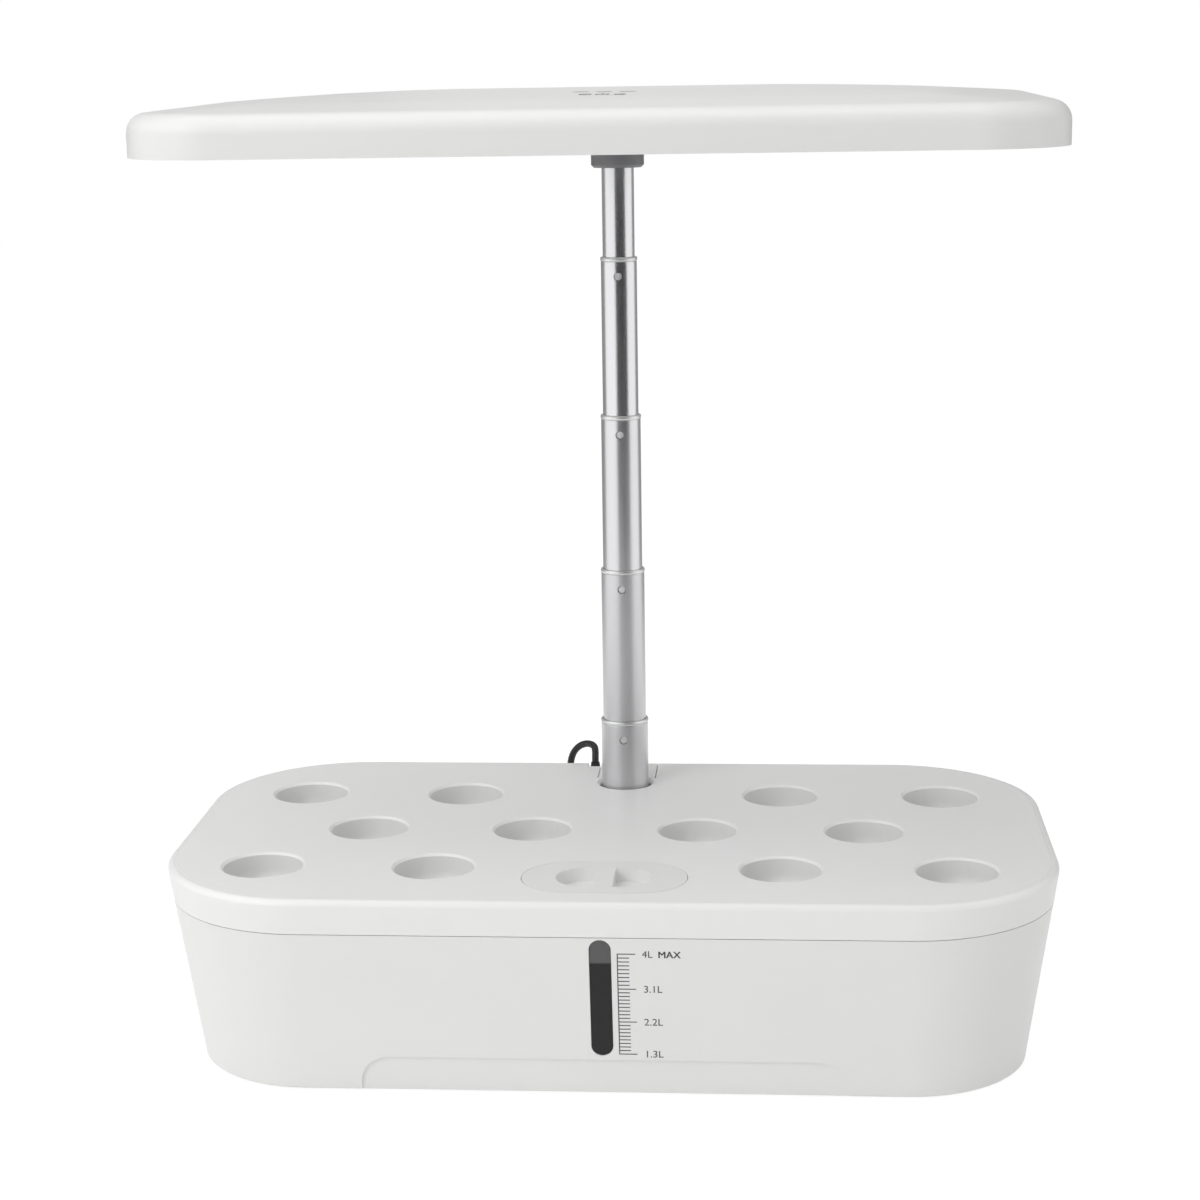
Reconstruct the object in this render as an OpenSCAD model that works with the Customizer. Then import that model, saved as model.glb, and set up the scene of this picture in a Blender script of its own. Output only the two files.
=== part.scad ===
// Countertop hydroponic garden: a water tank with a lift-off planting deck, a telescopic mast
// with snap buttons, and a flat grow lamp that turns on the mast's top tube.
// Millimetres. Origin at the centre of the footprint on the table; X right, Y back, Z up.

/* [Base] */
// Width over the deck's edge
base_w = 378; // [300:1:460]
// Depth over the deck's edge
base_d = 210; // [170:1:260]
// Height of the deck's top face above the table
deck_z = 87; // [70:1:120]
// Plan radius of the corners at the deck's edge
corner_r = 65; // [45:1:80]
// Lean of the sides, millimetres inwards for each millimetre down
side_lean = 0.15; // [0:0.01:0.22]
// Wall and floor of the tank
wall = 2.6; // [1.6:0.1:4]
// Height of the deck's skirt, down to the seam
skirt_h = 15; // [10:1:24]
// Thickness of the deck's top plate
plate_t = 2.4; // [1.6:0.1:4]
// Gap between parts that lift apart
lift_gap = 0.3; // [0.2:0.05:1]
// Height of the tank's underside above the table, carried by the feet
foot_gap = 1.2; // [0.6:0.1:4]

/* [Planting holes] */
// Diameter of a planting hole
pod_d = 33.6; // [20:0.1:50]
// Distance between holes along a row
pod_pitch = 72.5; // [60:0.5:90]
// Distance between the three rows
pod_row = 53.9; // [45:0.1:60]
// Y of the middle row
grid_y = -5; // [-10:0.5:5]
// Depth of a hole's upper wall, down to its ledge
pod_depth = 11; // [6:0.5:20]
// Diameter of the hole below the ledge
ledge_d = 28.4; // [16:0.1:40]

/* [Window] */
// Width of the level window
window_w = 9; // [6:0.1:16]
// Lowest point of the window above the table
window_low = 18.5; // [10:0.5:30]
// Highest point of the window above the table
window_high = 70.9; // [50:0.1:71]

/* [Fill cover] */
// Width of the fill cover
cover_w = 68.4; // [50:0.1:90]
// Depth of the fill cover
cover_d = 40; // [30:0.1:50]
// Y of the fill cover's centre
cover_y = -71.5; // [-76:0.5:-66]
// Width of the finger recess in the cover
grip_w = 40.2; // [30:0.1:50]
// Depth, front to back, of the finger recess
grip_d = 24.7; // [18:0.1:28]
// How far the finger recess goes down
grip_down = 6; // [3:0.5:9]
// Width of the bar across the finger recess
bar_w = 7.8; // [5:0.1:12]

/* [Mast] */
// Distance from the mast's axis to the deck's rear edge
mast_back = 35.4; // [31:0.1:39]
// Outer diameter of the fixed foot tube
tube_d = 21.6; // [18:0.1:24]
// Step in outer diameter from one tube to the next
tube_step = 1.8; // [1.8:0.1:2.4]
// Wall of each tube
tube_wall = 0.6; // [0.4:0.05:0.6]
// Length of the foot tube that shows above the deck
foot_show = 31.5; // [20:0.5:50]
// Length of each middle tube that shows when drawn out
tube_show = 71; // [50:0.5:90]
// Length of the top tube that shows below the collar
head_show = 39.3; // [30:0.1:60]
// Length of a drawn-out tube that stays inside the one below
tube_hold = 16; // [14:0.5:24]
// Distance from a tube's lip down to its snap button
button_down = 8.5; // [7:0.1:9]
// Diameter of a snap button
button_d = 3.4; // [3:0.1:4]

/* [Lamp] */
// Width of the lamp
lamp_w = 366; // [300:1:420]
// Depth of the lamp
lamp_d = 212; // [180:1:240]
// Plan radius of the lamp's corners
lamp_r = 38; // [25:1:60]
// Thickness of the lamp at its rim
lamp_t = 17.2; // [12:0.1:26]
// Rise of the lamp's top from the rim to the middle
lamp_crown = 5.4; // [2:0.1:10]
// Rounding of the lamp's upper edge
lamp_edge = 8; // [4:0.5:12]
// Wall of the lamp's shell
lamp_wall = 2.2; // [1.4:0.1:3]
// Height of the lamp's underside above the table, at its centre
lamp_z = 382.8; // [360:0.1:400]
// Y of the lamp's centre
lamp_y = 0; // [-6:0.5:4]
// Forward rake of the lamp, in degrees
lamp_rake = 1.5; // [0:0.1:4]
// Outer diameter of the collar under the lamp
collar_d = 23.6; // [22:0.1:30]

/* [Power lead] */
// Diameter of the lead
lead_d = 3.3; // [2.5:0.1:5]

/* [Hidden] */
$fn = 48;
big = 500;
nudge = 0.5;

// Rounded-rectangle outline: corner centres stay put while the sides lean
corner_x = base_w / 2 - corner_r;
corner_y = base_d / 2 - corner_r;
back = base_d / 2;
mast_y = back - mast_back;
function edge_r(z) = corner_r - side_lean * (deck_z - z);
lean_deg = atan(side_lean);

// Heights of the tank and the deck's skirt
seam_z = deck_z - skirt_h;
shoulder_z = seam_z - lift_gap;
floor_z = foot_gap + wall + 0.4;
lip_z = 80.5;
skirt_wall = 2.2;
skirt_in = edge_r(seam_z) - skirt_wall;
lip_out = skirt_in - 0.4;
lip_in = lip_out - 2;
under_z = deck_z - plate_t;
deck_round = 3;

// Planting holes: four, four and four, staggered, with the mast and the cover in the gaps
pods = [for (row = [-1, 1]) for (k = [-2, -1, 1, 2]) [k * pod_pitch, grid_y + row * pod_row],
        for (k = [-1.5 : 1.5]) [k * pod_pitch, grid_y]];
pod_wall = 2;
ledge_z = deck_z - pod_depth;
sleeve_low = 66;

// Mast: radii, lip heights and travels, one entry for each tube from the foot up
function tube_r(k) = (tube_d - k * tube_step) / 2;
function bore_r(k) = tube_r(k) - tube_wall;
function lip_top(k) = deck_z + foot_show + k * tube_show;
collar_z = lip_top(3) + head_show;
well_r = 14.6;
well_wall = 2;
tube_floor = 6.7;
bush_h = 3.5;
lip_h = 2;
run_fit = 0.08;
button_out = 0.2;

// Rear insert that fills the deck's slot behind the mast
insert_half = 13.4;
insert_front = mast_y + 7.4;
flange_t = 3;
slot_gap = 0.4;
notch_left = -19.8;
notch_front = back - 8.5;
gland_x = -16.5;
gland_y = back - 4.5;
gland_top = 88;
ear_top = 84;
screw_x = 24;
screw_y = mast_y + 8.4;
screw_boss_r = 4.5;

// Feet, under the corners, and the shallow toe recess in the front wall
foot_r = 7.9;
foot_at = [corner_x, corner_y + 18];
toe = [100, 15.5, 12];

// Lamp: heights above the underside, measured square to it
glass_low = 0.6;
glass_t = 1.4;
chip_low = 2.1;
chip_t = 0.8;
board_t = 1.6;
board_z = chip_low + chip_t;
plate_z = board_z + board_t + 0.1;
bracket_t = 2;
driver_z = 8;
touch_z = 12;
touch_y = 40 - lamp_d / 2;
touch_board_t = 1.2;
pad_r = 3.4;
crown_in = 0.8;
crown_step = 0.6;
crown_reach = [lamp_w / 2 - lamp_edge - crown_in, lamp_d / 2 - lamp_edge - crown_in];
mast_in_lamp = mast_y - lamp_y;
spigot_r = 9.5;
spigot_top = 392.5;
tube_top = 394.5;
chip_w = 3.6;
chip_in = [36.7, 32.2];
chip_pitch = [(lamp_w - 2 * chip_in[0]) / 14, (lamp_d - 2 * chip_in[1]) / 6];
led_board_size = [lamp_w - 36, lamp_d - 32, lamp_r - 18];
board_screw_in = [47, 40];
rim_screw_in = 8.5;
rim_screw_at = [lamp_w / 6, lamp_d / 4.7];
bracket_size = [74, 46, 5];
bracket_screw_at = [31, -20, 14];
driver_size = [104, 56];
driver_y = -10;
driver_screw_in = [7, 8];
touch_size = [62, 18];
touch_screw_in = 4;
pad_pitch = 10;

// Pump
pump_x = 58;
pump_y = mast_y - 9.6;
pump_low = 7.2;
pump_size = [40, 26, 26];
rotor_r = 8.6;
shaft_r = 1;
chamber_r = 9.4;
rotor_z = pump_low + 13;

// Level float, in the leaning frame of the front wall
float_low = 14;
float_h = 12;
float_half = 5.6;
guide_top = 70;

// Lead: route points chosen by hand, from the gland to the coil and from the coil to the adapter
lead_route = [
    [-16.5, 100.5, 88.1], [-16.5, 100.9, 90.4], [-16.6, 102.3, 93], [-17.5, 105, 94.8],
    [-20.6, 108.5, 95], [-24.4, 111.3, 93.3], [-27.5, 113.5, 90], [-29.4, 115.2, 85.4],
    [-30.2, 116.6, 79], [-30.4, 117.8, 70], [-30.4, 119, 60], [-30.4, 120.2, 50],
    [-30.4, 121.4, 40], [-30.6, 122.8, 30], [-31.2, 124.8, 20.5], [-32.6, 128.4, 12],
    [-35.6, 134, 5.6], [-40, 141, 2.4], [-45, 147.6, 1.65], [-49.2, 154.4, 1.65],
    [-52, 161.4, 1.65], [-53.1, 168, 1.65], [-53.1, 172, 1.65]];
tail_route = [
    [-53.1, 172, 11.6], [-52.6, 178, 11.2], [-51, 184.4, 9], [-47.6, 190.4, 5.8], [-42.4, 195.2, 3.2],
    [-36.4, 198.2, 2.4], [-30, 199.6, 4.4], [-25, 200, 6.8], [-21, 200, 7.8], [-18.1, 200, 8]];
// The pump's lead, as steps from the mast's axis: y is counted from mast_y
pump_route = [
    [58, 7.4, 21.2], [58, 10.6, 21.3], [56.4, 14, 22.2], [52, 16.6, 24.2], [45, 18.4, 27.6],
    [37, 19.4, 32], [29, 20, 37.6], [21, 20.4, 44.6], [14, 20.4, 53], [9, 20.4, 62], [7, 20.4, 70],
    [7, 20.4, 76], [7, 20.4, 80.5]];
pump_lead_d = 3;
coil_x = -76.2;
coil_y = 172;
coil_mid = 19.8;
coil_half = 5;
coil_h = 13.3;
adapter_x = 32;
adapter_y = 200;
adapter_size = [60, 28, 42];
relief_len = 20;
relief_z = 8;

// Colours
white = [0.93, 0.93, 0.92];
steel = [0.82, 0.82, 0.84];
smoke = [0.2, 0.21, 0.22, 0.6];
black = [0.06, 0.06, 0.06];
grey = [0.5, 0.5, 0.5];
clear = [0.95, 0.95, 0.95, 0.4];

// --- Shared shapes -------------------------------------------------------------------------

// Rounded rectangle made of two bars and four discs
module rounded(w, d, r) {
    square([w - 2 * r, d], center = true);
    square([w, d - 2 * r], center = true);
    for (x = [-1, 1], y = [-1, 1]) translate([x * (w / 2 - r), y * (d / 2 - r)]) circle(r);
}

// Slot outline with round ends, the long way along X
module stadium(w, d) {
    square([w - d, d], center = true);
    for (x = [-1, 1]) translate([x * (w - d) / 2, 0]) circle(d / 2);
}

// Carries a profile round a rounded rectangle whose corner centres are at cx and cy
module carry_round(cx, cy) {
    for (turn = [0 : 3]) {
        translate([(turn % 3 == 0 ? 1 : -1) * cx, (turn < 2 ? 1 : -1) * cy, 0])
            rotate([0, 0, 90 * turn]) rotate_extrude(angle = 90) children();
        rotate([0, 0, 90 * turn]) translate([turn % 2 == 0 ? cx : cy, 0, 0]) rotate([90, 0, 0])
            linear_extrude(2 * (turn % 2 == 0 ? cy : cx), center = true) children();
    }
}

// Puts its children in the leaning frame of the front wall: z up the wall, y into the tank
module at_front_wall() {
    translate([0, -corner_y - edge_r(foot_gap), foot_gap]) rotate([lean_deg, 0, 0]) children();
}

// Extrudes an outline drawn in x and z along y, from y0
module along_y(y0, len) {
    translate([0, y0 + len, 0]) rotate([90, 0, 0]) linear_extrude(len) children();
}

module at_mast() {
    translate([0, mast_y, 0]) children();
}

// Countersunk screw, head face at z = 0, pointing down
module countersunk(r, len) {
    translate([0, 0, -r]) cylinder(h = r, r1 = r, r2 = 2 * r);
    translate([0, 0, -len]) cylinder(h = len - r, r = r);
}

// --- Tank ----------------------------------------------------------------------------------

module tank_profile() {
    polygon([[0, foot_gap], [edge_r(foot_gap) - 0.6, foot_gap], [edge_r(foot_gap + 0.6), foot_gap + 0.6],
        [edge_r(shoulder_z), shoulder_z], [lip_out, shoulder_z], [lip_out, lip_z], [lip_in, lip_z],
        [lip_in, 67], [edge_r(61) - wall, 61], [edge_r(floor_z) - wall, floor_z], [0, floor_z]]);
}

module window_outline(grow) {
    low = (window_low - foot_gap) / cos(lean_deg);
    high = (window_high - foot_gap) / cos(lean_deg);
    translate([0, (low + high) / 2]) rotate(90) stadium(high - low + 2 * grow, window_w + 2 * grow);
}

module toe_outline() {
    half = toe[0];
    high = toe[1];
    r = toe[2];
    translate([-half, -2]) square([2 * half, high + 2 - r]);
    translate([-half + r, -2]) square([2 * (half - r), high + 2]);
    for (x = [-1, 1]) translate([x * (half - r), high - r]) circle(r);
}

module feet_places() {
    for (x = [-1, 1], y = [-1, 1]) translate([x * foot_at[0], y * foot_at[1], 0]) children();
}

module tank() color(white) {
    difference() {
        union() {
            carry_round(corner_x, corner_y) tank_profile();
            translate([-corner_x, -corner_y, foot_gap])
                cube([2 * corner_x, 2 * corner_y, floor_z - foot_gap]);
            at_mast() translate([0, 0, floor_z - nudge])
                cylinder(h = lip_z - floor_z + nudge, r = well_r + well_wall);
            for (x = [-screw_x, screw_x]) translate([x, screw_y, floor_z - nudge])
                cylinder(h = lip_z - floor_z + nudge, r = screw_boss_r);
        }
        at_mast() translate([0, 0, floor_z]) cylinder(h = lip_z, r = well_r);
        for (x = [-screw_x, screw_x]) translate([x, screw_y, lip_z - 12]) cylinder(h = 20, r = 1.55);
        at_front_wall() {
            along_y(-5, 5 + wall + 2) window_outline(0);
            along_y(-1, 1.8) toe_outline();
            translate([-8.2, wall, 60]) cube([16.4, 6, 15.5]);
        }
        feet_places() translate([0, 0, foot_gap - 1]) cylinder(h = 2, r = foot_r + 0.1);
    }
}

module feet() color(grey) feet_places() {
    cylinder(h = foot_gap + 1, r = foot_r);
}

module window_lens() color(smoke) at_front_wall() {
    along_y(0.4, wall + 0.4) window_outline(-0.1);
    along_y(wall + 0.8, 1.4) window_outline(3);
}

module window_gasket() color(black) at_front_wall() along_y(wall, 0.8) difference() {
    window_outline(3);
    window_outline(0);
}

module float_guide() color(white) difference() {
    at_front_wall() {
        for (x = [-1, 1]) translate([x * 7.2 - 1.2, 5.6, 1]) cube([2.4, 9.8, guide_top - 1]);
        for (z = [float_low - 2.3, guide_top - 2]) translate([-7, 5.6, z]) cube([14, 9.8, 2]);
        for (z = [30, 50]) translate([-7, 14, z]) cube([14, 1.4, 4]);
    }
    translate([-big / 2, -big / 2, floor_z - 20]) cube([big, big, 20]);
}

module float_block() color(white) at_front_wall() {
    translate([-float_half, 6.2, float_low]) cube([2 * float_half, 7.3, float_h]);
    along_y(5.2, 1.2) polygon([[-3.4, float_low + 4], [3.4, float_low + 4], [0, float_low + 10]]);
}

// --- Mast foot and rear insert ---------------------------------------------------------------

// Outer form of the base above the seam, with its rounded top edge
module top_form(low) {
    carry_round(corner_x, corner_y) polygon(concat([[0, low], [edge_r(low), low]],
        [for (a = [0 : 15 : 90]) [edge_r(deck_z - deck_round) - deck_round * (1 - cos(a)),
            deck_z - deck_round * (1 - sin(a))]], [[0, deck_z]]));
    translate([-corner_x, -corner_y, low]) cube([2 * corner_x, 2 * corner_y, deck_z - low]);
}

module mast_socket() color(white) {
    difference() {
        union() {
            at_mast() translate([0, 0, floor_z]) cylinder(h = lip_z - floor_z + nudge, r = well_r - 0.1);
            at_mast() translate([0, 0, lip_z]) cylinder(h = flange_t, r = well_r + well_wall + 2);
            translate([-screw_x, screw_y - 5, lip_z]) cube([2 * screw_x, 10, flange_t]);
            for (x = [-screw_x, screw_x]) translate([x, screw_y, lip_z]) cylinder(h = flange_t, r = 5);
            translate([-insert_half, insert_front, lip_z])
                cube([2 * insert_half, back - 6 - insert_front, flange_t]);
            intersection() {
                top_form(shoulder_z);
                union() {
                    translate([-insert_half, insert_front, lip_z + nudge])
                        cube([2 * insert_half, 40, deck_z]);
                    translate([-insert_half, corner_y + lip_out + 0.2, shoulder_z])
                        cube([2 * insert_half, 20, deck_z]);
                }
            }
            translate([notch_left + slot_gap, back - 13, lip_z])
                cube([-insert_half - notch_left, 12, ear_top - lip_z]);
        }
        at_mast() translate([0, 0, tube_floor]) cylinder(h = deck_z, r = tube_r(0));
        at_mast() translate([0, 0, floor_z - 1]) cylinder(h = 10, r = 5);
        for (x = [-screw_x, screw_x]) translate([x, screw_y, lip_z + flange_t]) countersunk(1.55, 14);
    }
}

module socket_screws() color(steel) {
    for (x = [-screw_x, screw_x]) translate([x, screw_y, lip_z + flange_t]) countersunk(1.5, 13);
}

module cord_gland() color(black) translate([gland_x, gland_y, ear_top]) {
    cylinder(h = gland_top - ear_top, r1 = 2.6, r2 = 2);
}

// --- Mast tubes: k = 0 is the fixed foot tube, k = 4 the top tube ------------------------------

function tube_low(k) = k == 0 ? tube_floor : lip_top(k - 1) - tube_hold + bush_h;
function tube_high(k) = k == 4 ? tube_top : lip_top(k);

module button_hole(z, r) {
    translate([0, 0, z]) rotate([90, 0, 0]) cylinder(h = 20, r = r);
}

module mast_tube(k) color(steel) at_mast() difference() {
    translate([0, 0, tube_low(k)]) cylinder(h = tube_high(k) - tube_low(k), r = tube_r(k));
    translate([0, 0, tube_low(k) - 1])
        cylinder(h = tube_high(k) - tube_low(k) + (k == 4 ? 2 : 1 - lip_h), r = bore_r(k));
    if (k < 4) {
        translate([0, 0, lip_top(k) - lip_h - 1]) cylinder(h = 9, r = tube_r(k + 1) + run_fit);
        button_hole(lip_top(k) - button_down, button_d / 2 + 0.2);
    }
    if (k > 0) button_hole(lip_top(k - 1) - button_down, button_d / 2 + 0.06);
}

module mast_tube_1() mast_tube(0);
module mast_tube_2() mast_tube(1);
module mast_tube_3() mast_tube(2);
module mast_tube_4() mast_tube(3);
module mast_tube_5() mast_tube(4);

// Sliding bush under a tube's foot, running in the tube below
module bush(k) color(black) at_mast() translate([0, 0, tube_low(k) - bush_h]) difference() {
    union() {
        cylinder(h = bush_h, r = bore_r(k - 1) - run_fit);
        cylinder(h = bush_h + 1.2, r = bore_r(k) - 0.02);
    }
    translate([0, 0, -1]) cylinder(h = 10, r = bore_r(k) - 1.8);
}

module bush_2() bush(1);
module bush_3() bush(2);
module bush_4() bush(3);
module bush_5() bush(4);

// Snap button carried by tube k: a round head in the tube's hole, held by a flange inside
module snap_button(k) color(grey) at_mast() translate([0, 0, lip_top(k - 1) - button_down]) {
    intersection() {
        translate([0, -bore_r(k) + 0.8, 0]) rotate([90, 0, 0]) cylinder(h = 4, r = button_d / 2);
        cylinder(h = 10, r = tube_r(k) + button_out, center = true);
    }
    intersection() {
        translate([0, -bore_r(k) + 1.1, 0]) rotate([90, 0, 0]) cylinder(h = 1.2, r = 2.5);
        cylinder(h = 10, r = bore_r(k) - 0.1, center = true);
    }
}

module snap_button_2() snap_button(1);
module snap_button_3() snap_button(2);
module snap_button_4() snap_button(3);
module snap_button_5() snap_button(4);

// Bent strip spring behind a button: a loop that leans on the tube's back wall
module snap_spring(k) color(steel) at_mast() translate([0, 0, lip_top(k - 1) - button_down - 1.75])
    linear_extrude(3.5) intersection() {
        circle(bore_r(k) - 0.05);
        difference() {
            translate([-3, -bore_r(k) + 2.2]) square([6, 2 * bore_r(k)]);
            translate([-2.6, -bore_r(k) + 2.6]) square([5.2, 2 * bore_r(k) - 3.2]);
        }
    }

module snap_spring_2() snap_spring(1);
module snap_spring_3() snap_spring(2);
module snap_spring_4() snap_spring(3);
module snap_spring_5() snap_spring(4);

// Ring at the top tube's end that keeps the lamp from lifting off
module top_ring() color(steel) at_mast() translate([0, 0, spigot_top + lift_gap]) difference() {
    cylinder(h = 1, r = 9.2);
    translate([0, 0, -1]) cylinder(h = 3, r = tube_r(4));
}

// --- Planting deck ---------------------------------------------------------------------------

module fill_cut(grow, low, high) {
    translate([0, cover_y, low]) linear_extrude(high - low) stadium(cover_w + 2 * grow, cover_d + 2 * grow);
}

module deck() color(white) difference() {
    union() {
        difference() {
            top_form(seam_z);
            translate([0, 0, seam_z - 1]) linear_extrude(under_z - seam_z + 1)
                rounded(2 * (corner_x + skirt_in), 2 * (corner_y + skirt_in), skirt_in);
        }
        for (p = pods) translate([p[0], p[1], 0]) {
            translate([0, 0, ledge_z - 1.6]) cylinder(h = under_z - ledge_z + 2, r = pod_d / 2 + pod_wall);
            translate([0, 0, sleeve_low]) cylinder(h = ledge_z - sleeve_low, r = ledge_d / 2 + pod_wall);
        }
        fill_cut(1.8, 81, under_z + nudge);
        for (x = [-90, 0, 90]) translate([x - 8, -corner_y - lip_out + 0.2, lip_z + lift_gap])
            cube([16, 5, under_z - lip_z]);
        for (x = [-90, 90]) translate([x - 8, corner_y + lip_out - 5.2, lip_z + lift_gap])
            cube([16, 5, under_z - lip_z]);
    }
    for (p = pods) translate([p[0], p[1], 0]) {
        translate([0, 0, ledge_z]) cylinder(h = 20, r = pod_d / 2);
        translate([0, 0, deck_z - 1]) cylinder(h = 1.01, r1 = pod_d / 2, r2 = pod_d / 2 + 1);
        translate([0, 0, sleeve_low - 1]) cylinder(h = 20, r = ledge_d / 2);
    }
    fill_cut(lift_gap, under_z - 1.3, deck_z + 1);
    fill_cut(-3, 70, deck_z);
    at_mast() translate([0, 0, seam_z]) cylinder(h = 30, r = 12);
    at_mast() translate([0, 0, deck_z - 1.2]) cylinder(h = 1.21, r1 = 12, r2 = 13.2);
    translate([-insert_half - slot_gap, insert_front - 0.5, seam_z - 1])
        cube([2 * (insert_half + slot_gap), 50, 30]);
    translate([notch_left, notch_front, seam_z - 1]) cube([10, 50, 30]);
}

module fill_cover() color(white) difference() {
    union() {
        fill_cut(0, under_z + 0.1, deck_z);
        translate([0, cover_y, deck_z - grip_down - 1.6]) linear_extrude(grip_down + 1)
            stadium(grip_w + 3.2, grip_d + 3.2);
    }
    difference() {
        translate([0, cover_y, deck_z - grip_down]) linear_extrude(20) stadium(grip_w, grip_d);
        translate([-bar_w / 2, cover_y - 20, 0]) cube([bar_w, 40, deck_z - 0.3]);
    }
}

module fill_seal() color(grey) difference() {
    fill_cut(-0.4, under_z - 1, under_z + 0.1);
    translate([0, cover_y, 70]) linear_extrude(30) stadium(grip_w + 3.2, grip_d + 3.2);
}

// --- Pump ------------------------------------------------------------------------------------

module at_pump() {
    translate([pump_x, pump_y, 0]) children();
}

module pump_body() color(black) at_pump() difference() {
    union() {
        translate([0, 0, pump_low]) linear_extrude(pump_size[2]) rounded(pump_size[0], pump_size[1], 5);
        translate([0, 0, pump_low + pump_size[2] - nudge]) cylinder(h = 8, r = 4.5);
        translate([0, pump_size[1] / 2 - 1, pump_low + 14]) rotate([-90, 0, 0])
            cylinder(h = 5, r1 = 4.4, r2 = 2.6);
    }
    translate([0, 1, rotor_z]) rotate([90, 0, 0]) cylinder(h = 30, r = chamber_r);
    translate([0, 8, rotor_z]) rotate([90, 0, 0]) cylinder(h = 20, r = shaft_r + 0.01);
    translate([0, -6, rotor_z]) cylinder(h = 40, r = 2.5);
    translate([0, -6, pump_low + pump_size[2] + 3]) cylinder(h = 10, r = 3);
}

module pump_cover() color(black) at_pump() difference() {
    translate([0, -pump_size[1] / 2, pump_low + pump_size[2] / 2]) rotate([90, 0, 0])
        linear_extrude(3) rounded(pump_size[0], pump_size[2], 4);
    for (x = [-12 : 4 : 12]) translate([x - 0.9, -pump_size[1] / 2 - 5, pump_low + 6]) cube([1.8, 10, 14]);
}

module rotor() color(grey) at_pump() translate([0, 0.4, rotor_z]) rotate([90, 0, 0]) difference() {
    union() {
        cylinder(h = 12, r = 4);
        for (a = [0 : 60 : 300]) rotate([0, 0, a]) translate([0, -0.6, 4]) cube([rotor_r, 1.2, 8]);
    }
    translate([0, 0, -1]) cylinder(h = 14, r = shaft_r + 0.05);
}

module rotor_shaft() color(steel) at_pump() translate([0, 7.8, rotor_z]) rotate([90, 0, 0])
    cylinder(h = 7.8 + pump_size[1] / 2, r = shaft_r);

module pump_feet() color(black) at_pump() for (x = [-14, 14], y = [-8, 8]) translate([x, y, floor_z])
    cylinder(h = pump_low - floor_z, r1 = 4.2, r2 = 2.4);

module pump_spout() color(grey) at_pump() translate([0, -6, 0]) difference() {
    union() {
        translate([0, 0, pump_low + pump_size[2] + 3]) cylinder(h = 14, r = 2.9);
        translate([0, 0, pump_low + pump_size[2] + 17]) sphere(2.9);
        translate([0, 0, pump_low + pump_size[2] + 17]) rotate([90, 0, 0]) cylinder(h = 14, r = 2.9);
    }
    translate([0, 0, pump_low]) cylinder(h = pump_size[2] + 17, r = 2);
    translate([0, 0, pump_low + pump_size[2] + 17]) rotate([90, 0, 0]) cylinder(h = 20, r = 2);
    translate([0, 0, pump_low + pump_size[2] + 17]) sphere(2);
}

// --- Lamp: everything here leans forward with the lamp -------------------------------------------

module at_lamp() {
    translate([0, lamp_y, lamp_z]) rotate([lamp_rake, 0, 0]) children();
}

// Radius of an arch from how far it reaches from the middle and how high it rises
function arch_r(reach, rise) = (reach * reach + rise * rise) / (2 * rise);

// Height of the shell's inner face over the middle of the lamp, at y
function ceiling(y) = let (r = arch_r(crown_reach[1], lamp_crown))
    lamp_t - lamp_wall + lamp_crown - r + sqrt(r * r - y * y);

// One of the four wide arches that the lamp's crown is cut from; it stands at height low at its reach
module arch(turn, reach, low, rise) {
    rotate([0, 0, turn]) translate([0, 0, low + rise - arch_r(reach, rise)]) rotate([0, 90, 0])
        cylinder(h = 2 * big, r = arch_r(reach, rise), center = true, $fn = 256);
}

// The lamp's outer form, or with inset its inside, from the underside up
module lamp_form(inset) {
    cx = lamp_w / 2 - lamp_r;
    cy = lamp_d / 2 - lamp_r;
    r = lamp_r - inset;
    edge = lamp_edge - inset;
    top = lamp_t - inset;
    corner_reach = (cx + cy) * sin(45) + lamp_r - lamp_edge - crown_in;
    carry_round(cx, cy) polygon(concat([[0, 0], [r, 0]],
        [for (a = [0 : 15 : 90]) [r - edge * (1 - cos(a)), top - edge * (1 - sin(a))]], [[0, top]]));
    translate([-cx, -cy, 0]) cube([2 * cx, 2 * cy, top]);
    intersection() {
        translate([0, 0, top - nudge]) linear_extrude(lamp_crown + 1)
            rounded(lamp_w - 2 * lamp_edge, lamp_d - 2 * lamp_edge, lamp_r - lamp_edge);
        arch(0, crown_reach[1], top, lamp_crown);
        arch(90, crown_reach[0], top, lamp_crown + crown_step);
        arch(45, corner_reach, top, lamp_crown + 2 * crown_step);
        arch(-45, corner_reach, top, lamp_crown + 2.4 * crown_step);
    }
}

rim_screws = [for (s = [-1, 1], t = [-1, 1]) each [[s * rim_screw_at[0], t * (lamp_d / 2 - rim_screw_in)],
    [s * (lamp_w / 2 - rim_screw_in), t * rim_screw_at[1]]]];
board_screws = [for (s = [-1, 1], t = [-1, 0, 1])
    [s * (lamp_w / 2 - board_screw_in[0]), t * (lamp_d / 2 - board_screw_in[1])]];
bracket_screws = [for (s = [-1, 1], k = [1, 2])
    [s * bracket_screw_at[0], mast_in_lamp + bracket_screw_at[k]]];
driver_screws = [for (s = [-1, 1], t = [-1, 1]) [s * (driver_size[0] / 2 - driver_screw_in[0]),
    driver_y + t * (driver_size[1] / 2 - driver_screw_in[1])]];
touch_screws = [for (s = [-1, 1]) [s * (touch_size[0] / 2 - touch_screw_in), touch_y]];

module pillars(places, r, low) {
    for (p = places) translate([p[0], p[1], low]) cylinder(h = 40, r = r);
}

module holes(places, r, low, deep) {
    for (p = places) translate([p[0], p[1], low - 1]) cylinder(h = deep + 1, r = r);
}

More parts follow.
